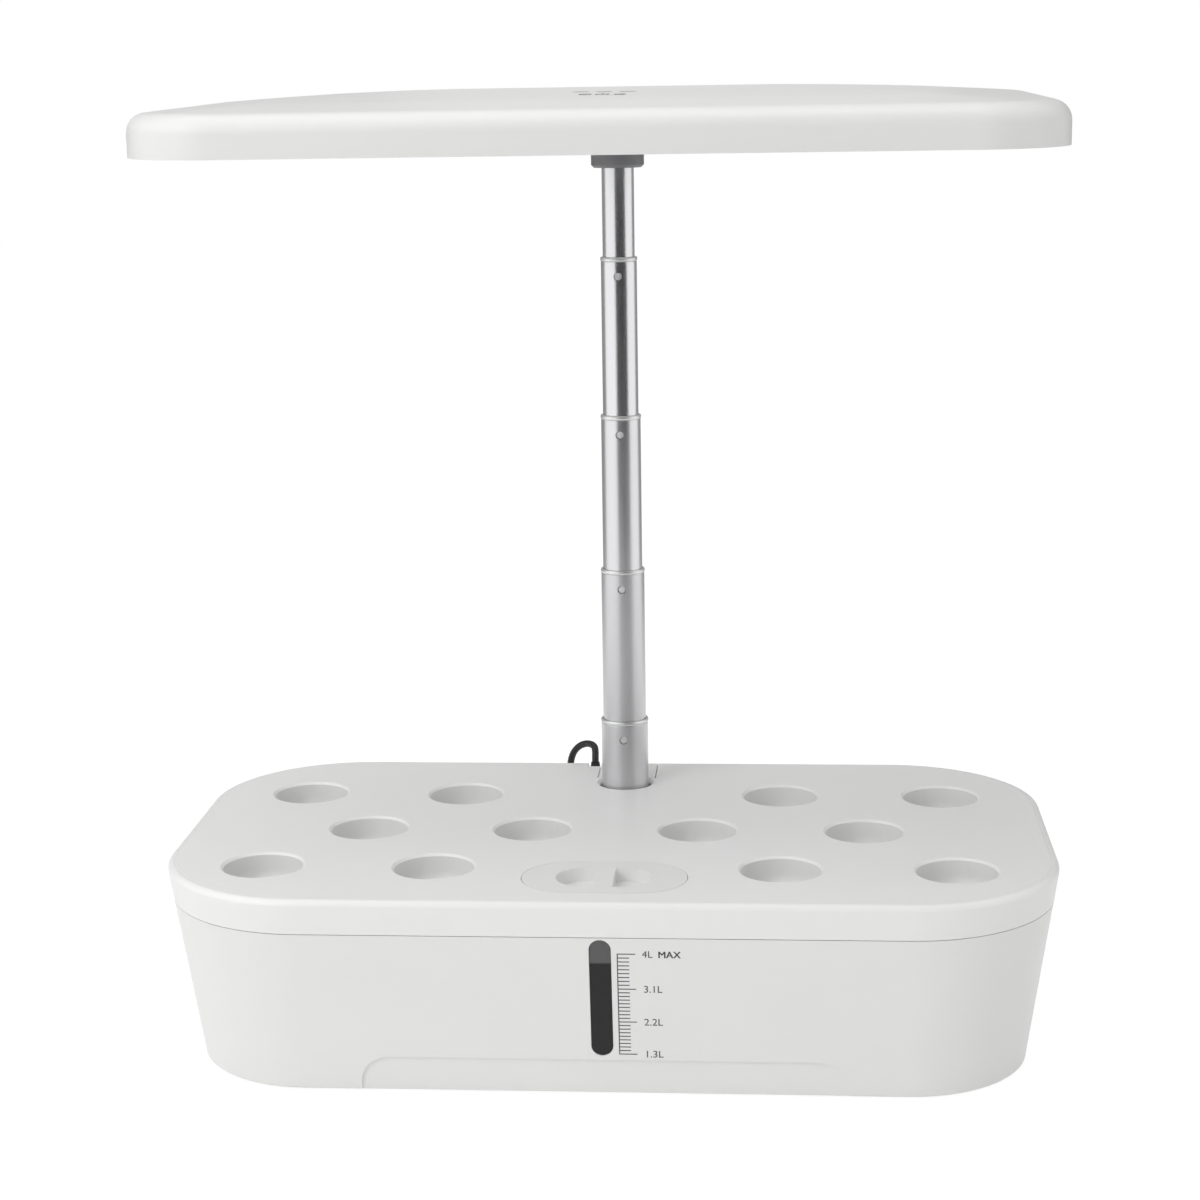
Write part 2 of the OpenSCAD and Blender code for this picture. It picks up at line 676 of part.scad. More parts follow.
module lamp_housing() color(white) at_lamp() difference() {
    union() {
        difference() {
            lamp_form(0);
            translate([0, 0, -0.01]) lamp_form(lamp_wall);
        }
        intersection() {
            lamp_form(1);
            union() {
                pillars(rim_screws, 3.5, glass_low + glass_t);
                pillars(board_screws, 3.5, board_z + board_t);
                pillars(bracket_screws, 4, plate_z + bracket_t);
                pillars(driver_screws, 3, driver_z + board_t);
                pillars(touch_screws, 3, touch_z + touch_board_t);
            }
        }
    }
    holes(rim_screws, 1.25, glass_low + glass_t, 7);
    holes(board_screws, 1.25, board_z + board_t, 7);
    holes(bracket_screws, 1.25, plate_z + bracket_t, 7);
    holes(driver_screws, 1.05, driver_z + board_t, 6);
    holes(touch_screws, 0.85, touch_z + touch_board_t, 4);
}

module screws(places, r, face, len) {
    for (p = places) translate([p[0], p[1], 0]) {
        translate([0, 0, face - 0.7]) cylinder(h = 0.7, r = 2 * r);
        translate([0, 0, face]) cylinder(h = len, r = r);
    }
}

module lamp_glass() color(clear) at_lamp() difference() {
    translate([0, 0, glass_low]) linear_extrude(glass_t)
        rounded(lamp_w - 5.6, lamp_d - 5.6, lamp_r - 2.8);
    translate([0, mast_in_lamp, 0]) cylinder(h = 10, r = collar_d / 2 + 0.8);
    for (p = rim_screws) translate([p[0], p[1], 0]) cylinder(h = 10, r = 1.35);
}

module rim_screws() color(steel) at_lamp() screws(rim_screws, 1.2, glass_low, 7);

module led_board() color([0.9, 0.92, 0.9]) at_lamp() difference() {
    translate([0, 0, board_z]) linear_extrude(board_t)
        rounded(led_board_size[0], led_board_size[1], led_board_size[2]);
    translate([-bracket_size[0] / 2 - 3, mast_in_lamp - 29, 0]) cube([bracket_size[0] + 6, 60, 10]);
    for (p = board_screws) translate([p[0], p[1], 0]) cylinder(h = 10, r = 1.35);
}

module board_screws() color(steel) at_lamp() screws(board_screws, 1.2, board_z, 6);

// Chips sit on a grid that is left open round the mast's bracket; every third is red
module led_chips(red) at_lamp() for (i = [-7 : 7], j = [-3 : 3]) {
    x = i * chip_pitch[0];
    y = j * chip_pitch[1];
    behind_mast = abs(x) < bracket_size[0] / 2 + 7 && y > mast_in_lamp - 33.6;
    is_red = (i + 2 * j + 30) % 3 == 0;
    if (!behind_mast && is_red == red)
        translate([x - chip_w / 2, y - chip_w / 2, chip_low]) cube([chip_w, chip_w, chip_t]);
}

module white_leds() color([1, 0.95, 0.75]) led_chips(false);
module red_leds() color([0.9, 0.3, 0.25]) led_chips(true);

module mast_bracket() color(steel) difference() {
    at_lamp() difference() {
        translate([0, mast_in_lamp - 3, plate_z]) linear_extrude(bracket_t)
            rounded(bracket_size[0], bracket_size[1], bracket_size[2]);
        for (p = bracket_screws) translate([p[0], p[1], 0]) cylinder(h = 12, r = 1.35);
    }
    at_mast() translate([0, 0, collar_z]) cylinder(h = 40, r = spigot_r + 0.1);
}

module bracket_screws() color(steel) at_lamp() screws(bracket_screws, 1.2, plate_z, 8);

module collar() color(grey) difference() {
    union() {
        intersection() {
            at_mast() translate([0, 0, collar_z]) {
                cylinder(h = 1.2, r1 = collar_d / 2 - 1.2, r2 = collar_d / 2);
                translate([0, 0, 1.2]) cylinder(h = 30, r = collar_d / 2);
            }
            at_lamp() translate([-big / 2, -big / 2, plate_z - big]) cube(big);
        }
        at_mast() translate([0, 0, collar_z + 5]) cylinder(h = spigot_top - collar_z - 5, r = spigot_r);
    }
    at_mast() translate([0, 0, collar_z - 1]) cylinder(h = 40, r = tube_r(4) + 0.05);
}

module collar_nut() color(grey) difference() {
    at_lamp() translate([0, mast_in_lamp, plate_z + bracket_t]) cylinder(h = 3, r = 13);
    at_mast() translate([0, 0, collar_z]) cylinder(h = 40, r = spigot_r + 0.02);
}

module driver_board() color([0.15, 0.4, 0.2]) at_lamp() difference() {
    translate([-driver_size[0] / 2, driver_y - driver_size[1] / 2, driver_z])
        cube([driver_size[0], driver_size[1], board_t]);
    for (p = driver_screws) translate([p[0], p[1], 0]) cylinder(h = 20, r = 1.2);
}

module driver_parts() color(black) at_lamp() translate([0, 0, driver_z + board_t]) {
    for (x = [-30, -18]) translate([x, -8, 0]) cylinder(h = 6.5, r = 4);
    translate([-4, -24, 0]) cube([16, 14, 5.5]);
    translate([22, -16, 0]) cube([10, 10, 2]);
    for (y = [-6, 4]) translate([-2, y, 0]) cube([9, 5, 2.4]);
}

module driver_screws() color(steel) at_lamp() screws(driver_screws, 1, driver_z, 6);

module touch_board() color([0.15, 0.4, 0.2]) at_lamp() difference() {
    translate([-touch_size[0] / 2, touch_y - touch_size[1] / 2, touch_z])
        cube([touch_size[0], touch_size[1], touch_board_t]);
    for (p = touch_screws) translate([p[0], p[1], 0]) cylinder(h = 20, r = 1);
}

module touch_pads() color(steel) at_lamp() {
    low = touch_z + touch_board_t;
    for (k = [-1 : 1]) translate([k * pad_pitch, touch_y, low])
        cylinder(h = ceiling(touch_y - pad_r) - low, r = pad_r);
}

module touch_screws() color(steel) at_lamp() screws(touch_screws, 0.8, touch_z, 5);

// --- Power lead --------------------------------------------------------------------------------

function between(a, b, c, d, t) = 0.5 * (2 * b + (c - a) * t + (2 * a - 5 * b + 4 * c - d) * t * t
    + (3 * b - a - 3 * c + d) * t * t * t);
function along(p, s) = let (n = len(p), i = min(floor(s), n - 2))
    between(p[max(i - 1, 0)], p[i], p[i + 1], p[min(i + 2, n - 1)], s - i);
function smooth(p, cuts) = [for (j = [0 : (len(p) - 1) * cuts]) along(p, j / cuts)];
function unit(v) = v / norm(v);
function heading(p, i) = unit(p[min(i + 1, len(p) - 1)] - p[max(i - 1, 0)]);
function ring(p, i, side, r, n) = let (t = heading(p, i), u = unit(cross(t, side)), v = cross(t, u))
    [for (k = [0 : n - 1]) p[i] + r * (u * cos(360 * k / n) + v * sin(360 * k / n))];

// A tube swept along a smooth run of points; side is a direction that the run never takes
module cord_tube(route, side, r) {
    n = 8;
    path = smooth(route, 2);
    last = len(path) - 1;
    points = [for (i = [0 : last]) each ring(path, i, side, r, n)];
    faces = concat([[for (k = [0 : n - 1]) k]], [[for (k = [n - 1 : -1 : 0]) last * n + k]],
        [for (i = [0 : last - 1], k = [0 : n - 1])
            [i * n + k, (i + 1) * n + k, (i + 1) * n + (k + 1) % n, i * n + (k + 1) % n]]);
    polyhedron(points, faces, convexity = 8);
}

module power_lead() color(black) cord_tube(lead_route, [1, 0.4, 0], lead_d / 2);
module power_tail() color(black) cord_tube(tail_route, [0.6, -1, 0], lead_d / 2);

module pump_lead() color(black) at_mast() cord_tube(pump_route, [1, 0.2, 0.6], pump_lead_d / 2);

module lead_coil() color(black) translate([coil_x, coil_y, 0]) rotate_extrude() {
    bevel = 1.6;
    low = coil_mid - coil_half;
    high = coil_mid + coil_half;
    polygon([[low + bevel, 0], [high - bevel, 0], [high, bevel], [high, coil_h - bevel],
        [high - bevel, coil_h], [low + bevel, coil_h], [low, coil_h - bevel], [low, bevel]]);
}

module adapter() color(black) {
    translate([adapter_x - adapter_size[0] / 2, adapter_y + adapter_size[1] / 2, 0]) rotate([90, 0, 0])
        linear_extrude(adapter_size[1]) translate([adapter_size[0] / 2, adapter_size[2] / 2])
            rounded(adapter_size[0], adapter_size[2], 5);
    translate([adapter_x - adapter_size[0] / 2 + nudge, adapter_y, relief_z]) rotate([0, -90, 0])
        cylinder(h = relief_len + nudge, r1 = 4.2, r2 = 2.4);
}

module adapter_blades() color(steel) for (x = [-6.35, 6.35])
    translate([adapter_x + 6 + x - 0.75, adapter_y + adapter_size[1] / 2, adapter_size[2] / 2 - 3.2])
        cube([1.5, 17, 6.4]);

// --- Nodes ---------------------------------------------------------------------------------------

tank();
feet();
window_lens();
window_gasket();
float_guide();
float_block();
mast_socket();
socket_screws();
cord_gland();
mast_tube_1();
mast_tube_2();
mast_tube_3();
mast_tube_4();
mast_tube_5();
bush_2();
bush_3();
bush_4();
bush_5();
snap_button_2();
snap_button_3();
snap_button_4();
snap_button_5();
snap_spring_2();
snap_spring_3();
snap_spring_4();
snap_spring_5();
top_ring();
deck();
fill_cover();
fill_seal();
pump_body();
pump_cover();
rotor();
rotor_shaft();
pump_feet();
pump_spout();
pump_lead();
lamp_housing();
lamp_glass();
rim_screws();
led_board();
board_screws();
white_leds();
red_leds();
mast_bracket();
bracket_screws();
collar();
collar_nut();
driver_board();
driver_parts();
driver_screws();
touch_board();
touch_pads();
touch_screws();
power_lead();
power_tail();
lead_coil();
adapter();
adapter_blades();
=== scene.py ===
# A countertop hydroponic garden: the looks of its pieces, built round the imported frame.
# Sizes are in millimetres, turned to metres by mm where each piece is made.
import math

import bpy
from mathutils import Matrix, Vector


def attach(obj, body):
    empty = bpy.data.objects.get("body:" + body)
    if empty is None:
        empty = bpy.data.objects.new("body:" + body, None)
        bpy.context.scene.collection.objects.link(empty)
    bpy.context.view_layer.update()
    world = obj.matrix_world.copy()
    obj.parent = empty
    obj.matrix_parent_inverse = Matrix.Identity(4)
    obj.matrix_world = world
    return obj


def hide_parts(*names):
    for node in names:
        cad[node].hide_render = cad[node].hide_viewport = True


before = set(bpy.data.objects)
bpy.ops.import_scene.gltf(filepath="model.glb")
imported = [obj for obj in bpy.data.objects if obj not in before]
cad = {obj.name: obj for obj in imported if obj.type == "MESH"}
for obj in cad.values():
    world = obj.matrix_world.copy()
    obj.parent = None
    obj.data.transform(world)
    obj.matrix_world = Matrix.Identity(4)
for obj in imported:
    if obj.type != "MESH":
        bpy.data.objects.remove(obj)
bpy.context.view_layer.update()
mm = 0.001

# --- Viewpoint -----------------------------------------------------------------------------------
# A long lens a metre in front of the garden, a hand's breadth to its right and level with the
# lamp, so the deck is seen from above and the lamp's top only at a grazing angle.

yaw, pitch, roll = (math.radians(a) for a in (-4.345, 11.716, -0.866))
ahead = Vector(
    (math.sin(yaw) * math.cos(pitch), math.cos(yaw) * math.cos(pitch), -math.sin(pitch))
)
level = Vector((math.cos(yaw), -math.sin(yaw), 0))
above = level.cross(ahead)
across = level * math.cos(roll) + above * math.sin(roll)
upward = above * math.cos(roll) - level * math.sin(roll)

lens = bpy.data.cameras.new("viewpoint")
lens.lens = 72
lens.sensor_width = 36
lens.dof.use_dof = False
viewpoint = bpy.data.objects.new("viewpoint", lens)
bpy.context.scene.collection.objects.link(viewpoint)
viewpoint.matrix_world = Matrix.Translation((0.07149, -1.01282, 0.39929)) @ (
    Matrix((across, upward, -ahead)).transposed().to_4x4()
)
bpy.context.scene.camera = viewpoint
bpy.context.scene.view_settings.view_transform = "Standard"

# --- Power lead ----------------------------------------------------------------------------------
# A round two-core lead in black PVC, 3.3 mm thick and 1.6 m long. It leaves the rear insert
# through a rubber gland, arches over the deck's edge and drops to the table; its spare length is
# wound in eleven turns behind the tank, held by a tie, and ends in a plug-in adapter.

lead_d = 3.3
lead_route = [
    (-16.5, 100.5, 88.1), (-16.5, 100.9, 90.4), (-16.6, 102.3, 93), (-17.5, 105, 94.8),
    (-20.6, 108.5, 95), (-24.4, 111.3, 93.3), (-27.5, 113.5, 90), (-29.4, 115.2, 85.4),
    (-30.2, 116.6, 79), (-30.4, 117.8, 70), (-30.4, 119, 60), (-30.4, 120.2, 50),
    (-30.4, 121.4, 40), (-30.6, 122.8, 30), (-31.2, 124.8, 20.5), (-32.6, 128.4, 12),
    (-35.6, 134, 5.6), (-40, 141, 2.4), (-45, 147.6, 1.65), (-49.2, 154.4, 1.65),
    (-52, 161.4, 1.65), (-53.1, 168, 1.65), (-53.1, 172, 1.65),
]
tail_route = [
    (-53.1, 172, 11.6), (-52.6, 178, 11.2), (-51, 184.4, 9), (-47.6, 190.4, 5.8),
    (-42.4, 195.2, 3.2), (-36.4, 198.2, 2.4), (-30, 199.6, 4.4), (-25, 200, 6.8),
    (-21, 200, 7.8), (-18.1, 200, 8),
]
coil_x, coil_y, coil_outer = -76.2, 172, 23.1
tie_gap = 0.3  # the tie's strap under the coil lifts the turns by this much
lays, lay_turn, step_turn = 12, 330, 60  # degrees along one lay, and over a step to the next
coil_cuts = 528


def eased(t):
    """0 before t = 0, 1 after t = 1, and a smooth step between."""
    t = min(max(t, 0), 1)
    return t * t * (3 - 2 * t)


def drawn_through(points, cuts):
    """A smooth run of points through the given ones, as the lead bends."""
    points = [Vector(p) for p in points]
    run = []
    for i in range(len(points) - 1):
        a, b = points[max(i - 1, 0)], points[i]
        c, d = points[i + 1], points[min(i + 2, len(points) - 1)]
        for k in range(cuts):
            t = k / cuts
            run.append(
                0.5 * (2 * b + (c - a) * t + (2 * a - 5 * b + 4 * c - d) * t**2
                       + (3 * b - a - 3 * c + d) * t**3)
            )
    return run + [points[-1]]


def coiled(turned):
    """The place on the coil after so many degrees. At the end of each lay the lead steps to the
    next one, beside it or on top of it."""
    places = [(k if layer % 2 == 0 else 2 - k, layer) for layer in range(4) for k in range(3)]
    column, layer = places[0]
    for k in range(1, lays):
        step = eased((turned - lay_turn * k + step_turn / 2) / step_turn)
        column += step * (places[k][0] - places[k - 1][0])
        layer += step * (places[k][1] - places[k - 1][1])
    settled = eased((turned - lay_turn * lays + step_turn) / step_turn)
    lift = tie_gap * eased(turned / step_turn) * (1 - settled)
    radius = coil_outer - column * lead_d
    angle = math.radians(turned)
    return Vector((coil_x + radius * math.cos(angle), coil_y + radius * math.sin(angle),
                   lead_d / 2 + layer * lead_d + lift))


lead_line = drawn_through(lead_route, 5)
lead_line += [coiled(lays * lay_turn / coil_cuts * k) for k in range(1, coil_cuts)]
lead_line += drawn_through(tail_route, 5)
lead_curve = bpy.data.curves.new("power_lead_sheath", "CURVE")
lead_curve.dimensions = "3D"
lead_curve.bevel_depth = lead_d / 2 * mm
lead_curve.bevel_resolution = 3
lead_curve.use_fill_caps = True
strand = lead_curve.splines.new("POLY")
strand.points.add(len(lead_line) - 1)
for point, place in zip(strand.points, lead_line):
    point.co = (*(place * mm), 1)
strand.use_smooth = True
power_lead = bpy.data.objects.new("power_lead_sheath", lead_curve)
bpy.context.scene.collection.objects.link(power_lead)


def linear(colour):
    """The linear RGBA of an sRGB hex value."""
    parts = [int(colour[i : i + 2], 16) / 255 for i in (1, 3, 5)]
    return [v / 12.92 if v <= 0.04045 else ((v + 0.055) / 1.055) ** 2.4 for v in parts] + [1]


def add(material, kind, settings=(), inputs=()):
    """Adds a shader node with its settings, and its inputs as values or as sockets to join."""
    node = material.node_tree.nodes.new("ShaderNode" + kind)
    for name, value in dict(settings).items():
        setattr(node, name, value)
    for name, value in dict(inputs).items():
        if isinstance(value, bpy.types.NodeSocket):
            material.node_tree.links.new(value, node.inputs[name])
        else:
            node.inputs[name].default_value = value
    return node


def moulded(name, colour, shade, roughness, grain, relief):
    """A moulded plastic or rubber, its tone drifting between two near colours over a few
    centimetres. grain is the size in millimetres of the mould's spark-eroded texture, and relief
    how deep it stands in millimetres."""
    material = bpy.data.materials.new(name)
    material.use_nodes = True
    shader = material.node_tree.nodes["Principled BSDF"]
    where = add(material, "TexCoord").outputs["Object"]
    drift = add(material, "TexNoise", inputs={"Vector": where, "Scale": 14, "Detail": 3})
    tone = add(material, "Mix", {"data_type": "RGBA"},
               {0: drift.outputs[0], 6: linear(colour), 7: linear(shade)})
    texture = add(material, "TexNoise",
                  inputs={"Vector": where, "Scale": 1000 / grain, "Detail": 2})
    gloss = add(material, "MapRange", inputs={0: texture.outputs[0], 1: 0.3, 2: 0.7,
                                              3: roughness - 0.04, 4: roughness + 0.05})
    bump = add(material, "Bump", inputs={"Height": texture.outputs[0], "Strength": 0.5,
                                         "Distance": relief * mm})
    links = material.node_tree.links
    links.new(tone.outputs[2], shader.inputs["Base Color"])
    links.new(gloss.outputs[0], shader.inputs["Roughness"])
    links.new(bump.outputs[0], shader.inputs["Normal"])
    shader.inputs["IOR"].default_value = 1.5
    return material


# Black PVC: soft, extruded, with a dull sheen and the faint orange peel of the die.
black_pvc = moulded("black_pvc_sheath", "#161617", "#1d1d1e", 0.42, 0.9, 0.02)
lead_curve.materials.append(black_pvc)
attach(power_lead, "base")
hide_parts("power_lead", "power_tail", "lead_coil")


def alone(piece):
    """Leaves only this piece selected, and active."""
    bpy.ops.object.select_all(action="DESELECT")
    piece.select_set(True)
    bpy.context.view_layer.objects.active = piece


def edit(select="SELECT"):
    """Enters edit mode with all of the mesh selected, or none of it."""
    bpy.ops.object.mode_set(mode="EDIT")
    bpy.ops.mesh.select_all(action=select)


def done():
    """Leaves edit mode."""
    bpy.ops.object.mode_set(mode="OBJECT")


def started(name):
    """Names the primitive just added, and keeps its place in its mesh."""
    piece = bpy.context.object
    piece.name = name
    piece.data.name = name
    bpy.ops.object.transform_apply(location=True, rotation=True, scale=True)
    return piece


def finish(piece, material, body, angle=35):
    """Smooths a finished piece up to its real edges, gives it its material and its body."""
    alone(piece)
    bpy.ops.object.shade_smooth_by_angle(angle=math.radians(angle))
    piece.data.materials.clear()
    piece.data.materials.append(material)
    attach(piece, body)
    return piece


def carry_out(piece, kind, **settings):
    """Adds a modifier to a piece and applies it."""
    alone(piece)
    modifier = piece.modifiers.new(kind.lower(), kind)
    for key, value in settings.items():
        setattr(modifier, key, value)
    bpy.ops.object.modifier_apply(modifier=modifier.name)


def box_between(name, low, high):
    """A block from one corner to the other, in millimetres, to be shaped further."""
    bpy.ops.object.select_all(action="DESELECT")
    middle = [(a + b) / 2 * mm for a, b in zip(low, high)]
    bpy.ops.mesh.primitive_cube_add(size=1, location=middle)
    bpy.context.object.scale = [(b - a) * mm for a, b in zip(low, high)]
    return started(name)


def turned(name, profile, place=(0, 0, 0), sides=64, tilt=(0, 0, 0)):
    """A ring drawn along a profile of (radius, height) pairs in millimetres and closed on itself or
    at its ends, as a lathe would leave it; place is where its axis starts."""
    bpy.ops.object.select_all(action="DESELECT")
    bpy.ops.mesh.primitive_circle_add(vertices=sides, radius=profile[0][0] * mm,
                                      location=(0, 0, profile[0][1] * mm))
    piece = started(name)
    edit()
    for (r0, z0), (r1, z1) in zip(profile, profile[1:]):
        bpy.ops.mesh.extrude_region_move(TRANSFORM_OT_translate={"value": (0, 0, (z1 - z0) * mm)})
        bpy.ops.transform.resize(value=(r1 / r0, r1 / r0, 1), center_override=(0, 0, z1 * mm))
    bpy.ops.mesh.select_all(action="SELECT")
    bpy.ops.mesh.remove_doubles(threshold=1e-6)
    if profile[0] != profile[-1]:
        bpy.ops.mesh.fill_holes(sides=0)
    bpy.ops.mesh.normals_make_consistent(inside=False)
    done()
    piece.rotation_euler = [math.radians(a) for a in tilt]
    piece.location = [v * mm for v in place]
    alone(piece)
    bpy.ops.object.transform_apply(location=True, rotation=True, scale=True)
    return piece


# The tie is a strap of soft PVC drawn round all twelve lays, with its buckle on the outside.
tie_play, tie_half, buckle_half = 0.15, 1.6, 2.2
tie_left = coil_x - coil_outer - lead_d / 2 - tie_play
tie_right = coil_x - coil_outer + 2.5 * lead_d + tie_play
tie = box_between("coil_tie", (tie_left, coil_y - tie_half, tie_gap),
                  (tie_right, coil_y + tie_half, 4 * lead_d + 2 * tie_gap))
# The two open sides share every corner, so they are picked as faces.
edit("DESELECT")
bpy.ops.mesh.select_mode(type="FACE")
done()
for face in tie.data.polygons:
    face.select = abs(face.normal.y) > 0.9
bpy.ops.object.mode_set(mode="EDIT")
bpy.ops.mesh.delete(type="ONLY_FACE")
bpy.ops.mesh.select_mode(type="VERT")
bpy.ops.mesh.select_all(action="SELECT")
bpy.ops.mesh.bevel(offset=1.5 * mm, segments=4, affect="EDGES")
done()
carry_out(tie, "SOLIDIFY", thickness=0.3 * mm, offset=1)
tie_buckle = box_between("coil_tie_buckle", (tie_left - 1.6, coil_y - buckle_half, 5),
                         (tie_left + 0.1, coil_y + buckle_half, 8.6))
carry_out(tie_buckle, "BEVEL", width=0.4 * mm, segments=2)
for piece in (tie, tie_buckle):
    finish(piece, black_pvc, "base")

# The adapter is a black polycarbonate case in two halves, welded at a fine groove, with a ribbed
# strain relief where the lead goes in and two nickel-plated blades at the back.
adapter_x, adapter_y, adapter_size, case_round = 32, 200, (60, 28, 42), 5
groove_y, groove_wide, groove_deep = adapter_y - 2.1, 0.4, 0.4
relief_z, relief_out, rib_pitch = 8, 20, 2.9
black_case = moulded("black_polycarbonate_case", "#1b1b1c", "#202021", 0.5, 0.8, 0.03)
half_w, half_d = adapter_size[0] / 2, adapter_size[1] / 2
adapter_case = box_between("adapter_case", (adapter_x - half_w, adapter_y - half_d, 0),
                           (adapter_x + half_w, adapter_y + half_d, adapter_size[2]))
edit("DESELECT")
done()
for line in adapter_case.data.edges:
    a, b = (adapter_case.data.vertices[i].co for i in line.vertices)
    line.select = abs(a.y - b.y) > 0.02
bpy.ops.object.mode_set(mode="EDIT")
bpy.ops.mesh.select_mode(type="EDGE")
bpy.ops.mesh.bevel(offset=case_round * mm, segments=6, affect="EDGES")
for y in (groove_y - groove_wide / 2, groove_y + groove_wide / 2):
    bpy.ops.mesh.select_all(action="SELECT")
    bpy.ops.mesh.bisect(plane_co=(0, y * mm, 0), plane_no=(0, 1, 0))
done()
for face in adapter_case.data.polygons:
    inside = abs(face.center.y - groove_y * mm) < groove_wide / 4 * mm
    face.select = inside and abs(face.normal.y) < 0.5
bpy.ops.object.mode_set(mode="EDIT")
bpy.ops.mesh.select_mode(type="FACE")
bpy.ops.mesh.extrude_region_move()
bpy.ops.transform.shrink_fatten(value=-groove_deep * mm)
bpy.ops.mesh.select_mode(type="VERT")
done()
carry_out(adapter_case, "BEVEL", width=0.8 * mm, segments=3, limit_method="ANGLE",
          angle_limit=math.radians(60))
relief_profile = [(2.0, 0.0), (2.45, 0.3)]
for k in range(6):
    ring, start = 2.5 + 0.28 * k, rib_pitch * k
    relief_profile += [(ring, start + 0.9), (ring + 0.15, start + 1.3), (ring + 0.15, start + 2.5),
                       (ring - 0.25, start + 2.9), (ring - 0.25, start + 3.5)]
relief_profile += [(4.2, 18.6), (4.2, 20.6)]
strain_relief = turned("strain_relief", relief_profile,
                       (adapter_x - half_w - relief_out, adapter_y, relief_z), 32, (0, 90, 0))
for piece in (adapter_case, strain_relief):
    finish(piece, black_case, "base")
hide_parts("adapter")

# Nickel-plated brass: warm silver, polished by the stamping die.
nickel = bpy.data.materials.new("nickel_plated_brass")
nickel.use_nodes = True
shader = nickel.node_tree.nodes["Principled BSDF"]
scuffs = add(nickel, "TexNoise", inputs={
    "Vector": add(nickel, "TexCoord").outputs["Object"], "Scale": 400, "Detail": 4})
worn = add(nickel, "MapRange", inputs={0: scuffs.outputs[0], 3: 0.16, 4: 0.34})
nickel.node_tree.links.new(worn.outputs[0], shader.inputs["Roughness"])
shader.inputs["Base Color"].default_value = linear("#d8d2c0")
shader.inputs["Metallic"].default_value = 1


def dressed(material, *names):
    """Gives CAD nodes that keep their own shape their real material."""
    for name in names:
        cad[name].data.materials.clear()
        cad[name].data.materials.append(material)


dressed(nickel, "adapter_blades")

# --- Table and light -----------------------------------------------------------------------------
# A white table under an even white surround. A broad soft lamp stands to the left, a weaker one to
# the right and one above. Cards round the mast, seen in reflections alone, band its steel.

floor_material = bpy.data.materials.new("white_table")
floor_material.use_nodes = True
floor_nodes = floor_material.node_tree.nodes
floor_nodes.remove(floor_nodes["Principled BSDF"])
seen = add(floor_material, "LightPath")
camera_or_glossy = add(floor_material, "Math", {"operation": "MAXIMUM"},
                       {0: seen.outputs["Is Camera Ray"], 1: seen.outputs["Is Glossy Ray"]})
any_view = add(floor_material, "Math", {"operation": "MAXIMUM"},
               {0: camera_or_glossy.outputs[0], 1: seen.outputs["Is Transmission Ray"]})
share = add(floor_material, "Math", {"operation": "MULTIPLY"}, {0: any_view.outputs[0], 1: 0.8})
plain = add(floor_material, "BsdfDiffuse", inputs={"Color": linear("#f4f4f4")})
glow = add(floor_material, "Emission", inputs={"Color": linear("#ffffff"), "Strength": 1.14})
floor_mix = add(floor_material, "MixShader", inputs={0: share.outputs[0], 1: plain.outputs[0],
                                                     2: glow.outputs[0]})
floor_material.node_tree.links.new(floor_mix.outputs[0],
                                   floor_nodes["Material Output"].inputs["Surface"])
bpy.ops.object.select_all(action="DESELECT")
bpy.ops.mesh.primitive_plane_add(size=12)
table = started("table")
table.data.materials.append(floor_material)

world = bpy.data.worlds.new("surround")
bpy.context.scene.world = world
world.use_nodes = True
backing = world.node_tree.nodes["Background"]
backing.inputs["Color"].default_value = linear("#ffffff")
path = add(world, "LightPath")
straight = add(world, "Math", {"operation": "MAXIMUM"},
               {0: path.outputs["Is Camera Ray"], 1: path.outputs["Is Transmission Ray"]})
strength = add(world, "MapRange", inputs={0: straight.outputs[0], 3: 0.55, 4: 1.0})
world.node_tree.links.new(strength.outputs[0], backing.inputs["Strength"])


def soft_lamp(name, place, aim, size, power):
    """A square softbox of that size in metres, turned to face the point it is aimed at."""
    light = bpy.data.lights.new(name, "AREA")
    light.shape = "RECTANGLE"
    light.size, light.size_y = size
    light.energy = power
    holder = bpy.data.objects.new(name, light)
    bpy.context.scene.collection.objects.link(holder)
    holder.location = place
    holder.rotation_euler = (Vector(aim) - Vector(place)).to_track_quat("-Z", "Y").to_euler()


soft_lamp("left_softbox", (-1.25, -1.35, 1.35), (0, 0, 0.1), (1.2, 1.2), 13.5)
soft_lamp("right_softbox", (1.6, -0.9, 0.8), (0, 0, 0.25), (0.5, 1.4), 1.2)
soft_lamp("top_softbox", (-0.3, -0.2, 1.9), (0, 0, 0), (1.6, 1.2), 9)

# In metres: how far the cards stand from the mast, how high they are, and their middle's place.
card_away, card_high, middle_y, middle_z = 0.7, 1.2, 0.07, 0.61


def card(name, turn, wide, strength):
    """A card turned so many degrees to the right of straight ahead. It stands so near that the
    mast's lower tubes mirror it too, and not the table in front of it."""
    bpy.ops.object.select_all(action="DESELECT")
    bpy.ops.mesh.primitive_plane_add(size=1)
    bpy.context.object.scale = (wide, card_high, 1)
    panel = started(name)
    side = math.radians(turn)
    place = (card_away * math.sin(side), middle_y - card_away * math.cos(side), middle_z)
    panel.data.transform(Matrix.Translation(place) @ Matrix.Rotation(side, 4, "Z")
                         @ Matrix.Rotation(math.pi / 2, 4, "X"))
    paper = bpy.data.materials.new(name + "_paper")
    paper.use_nodes = True
    paper.node_tree.nodes.remove(paper.node_tree.nodes["Principled BSDF"])
    lit = add(paper, "Emission", inputs={"Color": linear("#ffffff"), "Strength": strength})
    paper.node_tree.links.new(lit.outputs[0],
                              paper.node_tree.nodes["Material Output"].inputs["Surface"])
    panel.data.materials.append(paper)
    panel.visible_camera = False
    panel.visible_diffuse = False
    panel.visible_transmission = False
    panel.visible_shadow = False


